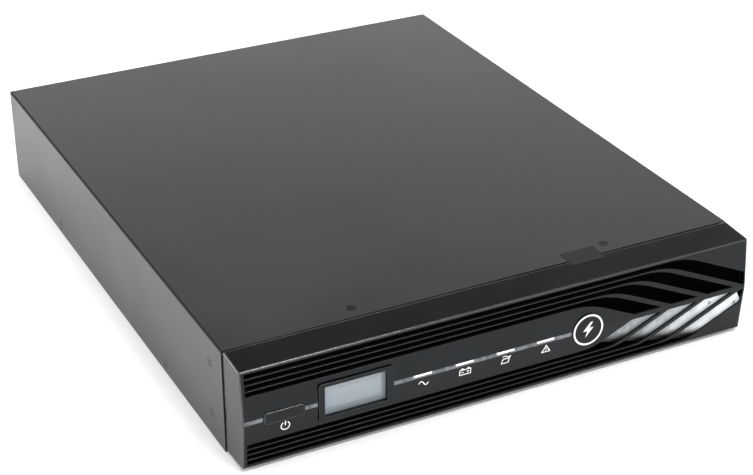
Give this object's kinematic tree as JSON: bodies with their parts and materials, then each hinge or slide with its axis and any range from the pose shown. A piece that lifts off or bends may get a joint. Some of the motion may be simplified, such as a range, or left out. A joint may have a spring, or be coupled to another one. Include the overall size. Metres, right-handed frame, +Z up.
{
  "type": "uninterruptible power supply",
  "caption": "Rack-height uninterruptible power supply with a slotted, chevroned front bezel, display, pull-out battery drawer, fans and rear sockets.",
  "frame": {"origin": "centre of the underside, midway between the front of the bezel's inlays and the rearmost fitting", "axes": "+X to the right seen from the front, +Y to the rear, +Z up; the bezel faces -Y"},
  "size_m": [0.438, 0.5508, 0.0865],
  "materials": {
    "satin_paint": "satin black powder coat, fine texture",
    "bezel_plastic": "smooth moulded slate-black plastic",
    "black_plastic": "matt black moulded plastic",
    "filter_foam": "black open-cell filter foam",
    "silver_film": "bright speckled silver film",
    "white_light": "translucent white light guide",
    "display_glass": "blank grey-blue display",
    "clear_window": "clear polycarbonate window",
    "circuit_board": "green solder-masked laminate",
    "plated_steel": "zinc-plated sheet steel",
    "screw_black": "black oxide steel",
    "fin_aluminium": "extruded aluminium",
    "battery_case": "grey-black moulded battery case",
    "copper_coil": "enamelled copper winding",
    "capacitor_sleeve": "dark shrink sleeve",
    "port_shell": "nickel-plated shell",
    "terminal_green": "green terminal plastic",
    "connector_grey": "dark grey connector plastic",
    "reset_white": "off-white plastic"
  },
  "bodies": {
    "case": {"top_cover": "satin_paint", "chassis_pan": "plated_steel", "front_plate": "plated_steel", "rear_panel": "satin_paint", "bay_divider": "plated_steel", "bay_socket": "connector_grey", "top_screw_left": "screw_black", "top_screw_right": "screw_black", "ear_screw_left_lower": "screw_black", "ear_screw_left_upper": "screw_black", "ear_screw_right_lower": "screw_black", "ear_screw_right_upper": "screw_black", "side_screw_left_front": "screw_black", "side_screw_left_rear": "screw_black", "side_screw_right_front": "screw_black", "side_screw_right_rear": "screw_black", "fan_frame_left": "black_plastic", "fan_frame_right": "black_plastic", "fan_guard_left": "plated_steel", "fan_guard_right": "plated_steel", "outlet_block_lower": "black_plastic", "outlet_block_upper": "black_plastic", "mains_inlet": "black_plastic", "breaker_body": "black_plastic", "usb_port": "port_shell", "network_ports": "port_shell", "epo_header": "terminal_green", "slot_cover": "satin_paint", "power_board": "circuit_board", "comms_board": "circuit_board", "heatsink": "fin_aluminium", "bulk_capacitor": "capacitor_sleeve", "filter_inductor": "copper_coil", "charger_transformer": "plated_steel"},
    "bezel": {"front_bezel": "bezel_plastic", "lcd_frame": "bezel_plastic", "lcd_window": "clear_window", "lcd_panel": "display_glass", "accent_strip_left": "silver_film", "accent_strip_middle": "silver_film", "accent_strip_right": "silver_film", "light_pipe": "white_light", "badge": "bezel_plastic", "button_switch": "connector_grey", "display_board": "circuit_board", "upper_dust_filter": "filter_foam", "lower_dust_filter": "filter_foam", "chevron_insert": "silver_film"},
    "power_button": {"power_button": "bezel_plastic"},
    "battery_drawer": {"battery_tray": "plated_steel", "battery_1": "battery_case", "battery_2": "battery_case", "battery_3": "battery_case", "battery_4": "battery_case", "tray_handle": "plated_steel", "tray_plug": "connector_grey"},
    "fan_rotor_left": {"fan_rotor_left": "black_plastic"},
    "fan_rotor_right": {"fan_rotor_right": "black_plastic"},
    "breaker_button": {"breaker_button": "reset_white"},
    "epo_plug": {"epo_plug": "terminal_green"}
  },
  "joints": [
    {"name": "drawer_slide", "type": "slide", "parent": "case", "child": "battery_drawer", "axis": [0, -1, 0], "range_m": [0, 0.29]},
    {"name": "bezel_pull", "type": "slide", "parent": "case", "child": "bezel", "axis": [0, -1, 0], "range_m": [0, 0.35]},
    {"name": "power_button_press", "type": "slide", "parent": "bezel", "child": "power_button", "axis": [0, 1, 0], "range_m": [0, 0.0012], "stiffness_N_per_m": 1500, "springref_m": -0.0005},
    {"name": "fan_left_spin", "type": "hinge", "parent": "case", "child": "fan_rotor_left", "pos_m": [-0.165, 0.2578, 0.04325], "axis": [0, 1, 0], "continuous": true},
    {"name": "fan_right_spin", "type": "hinge", "parent": "case", "child": "fan_rotor_right", "pos_m": [-0.079, 0.2578, 0.04325], "axis": [0, 1, 0], "continuous": true},
    {"name": "breaker_reset", "type": "slide", "parent": "case", "child": "breaker_button", "axis": [0, 1, 0], "range_m": [0, 0.0035]},
    {"name": "epo_plug_pull", "type": "slide", "parent": "case", "child": "epo_plug", "axis": [0, 1, 0], "range_m": [0, 0.012]}
  ],
  "couplings": [
    {"joint": "bezel_pull", "follows": "drawer_slide", "ratio": 1.2}
  ]
}
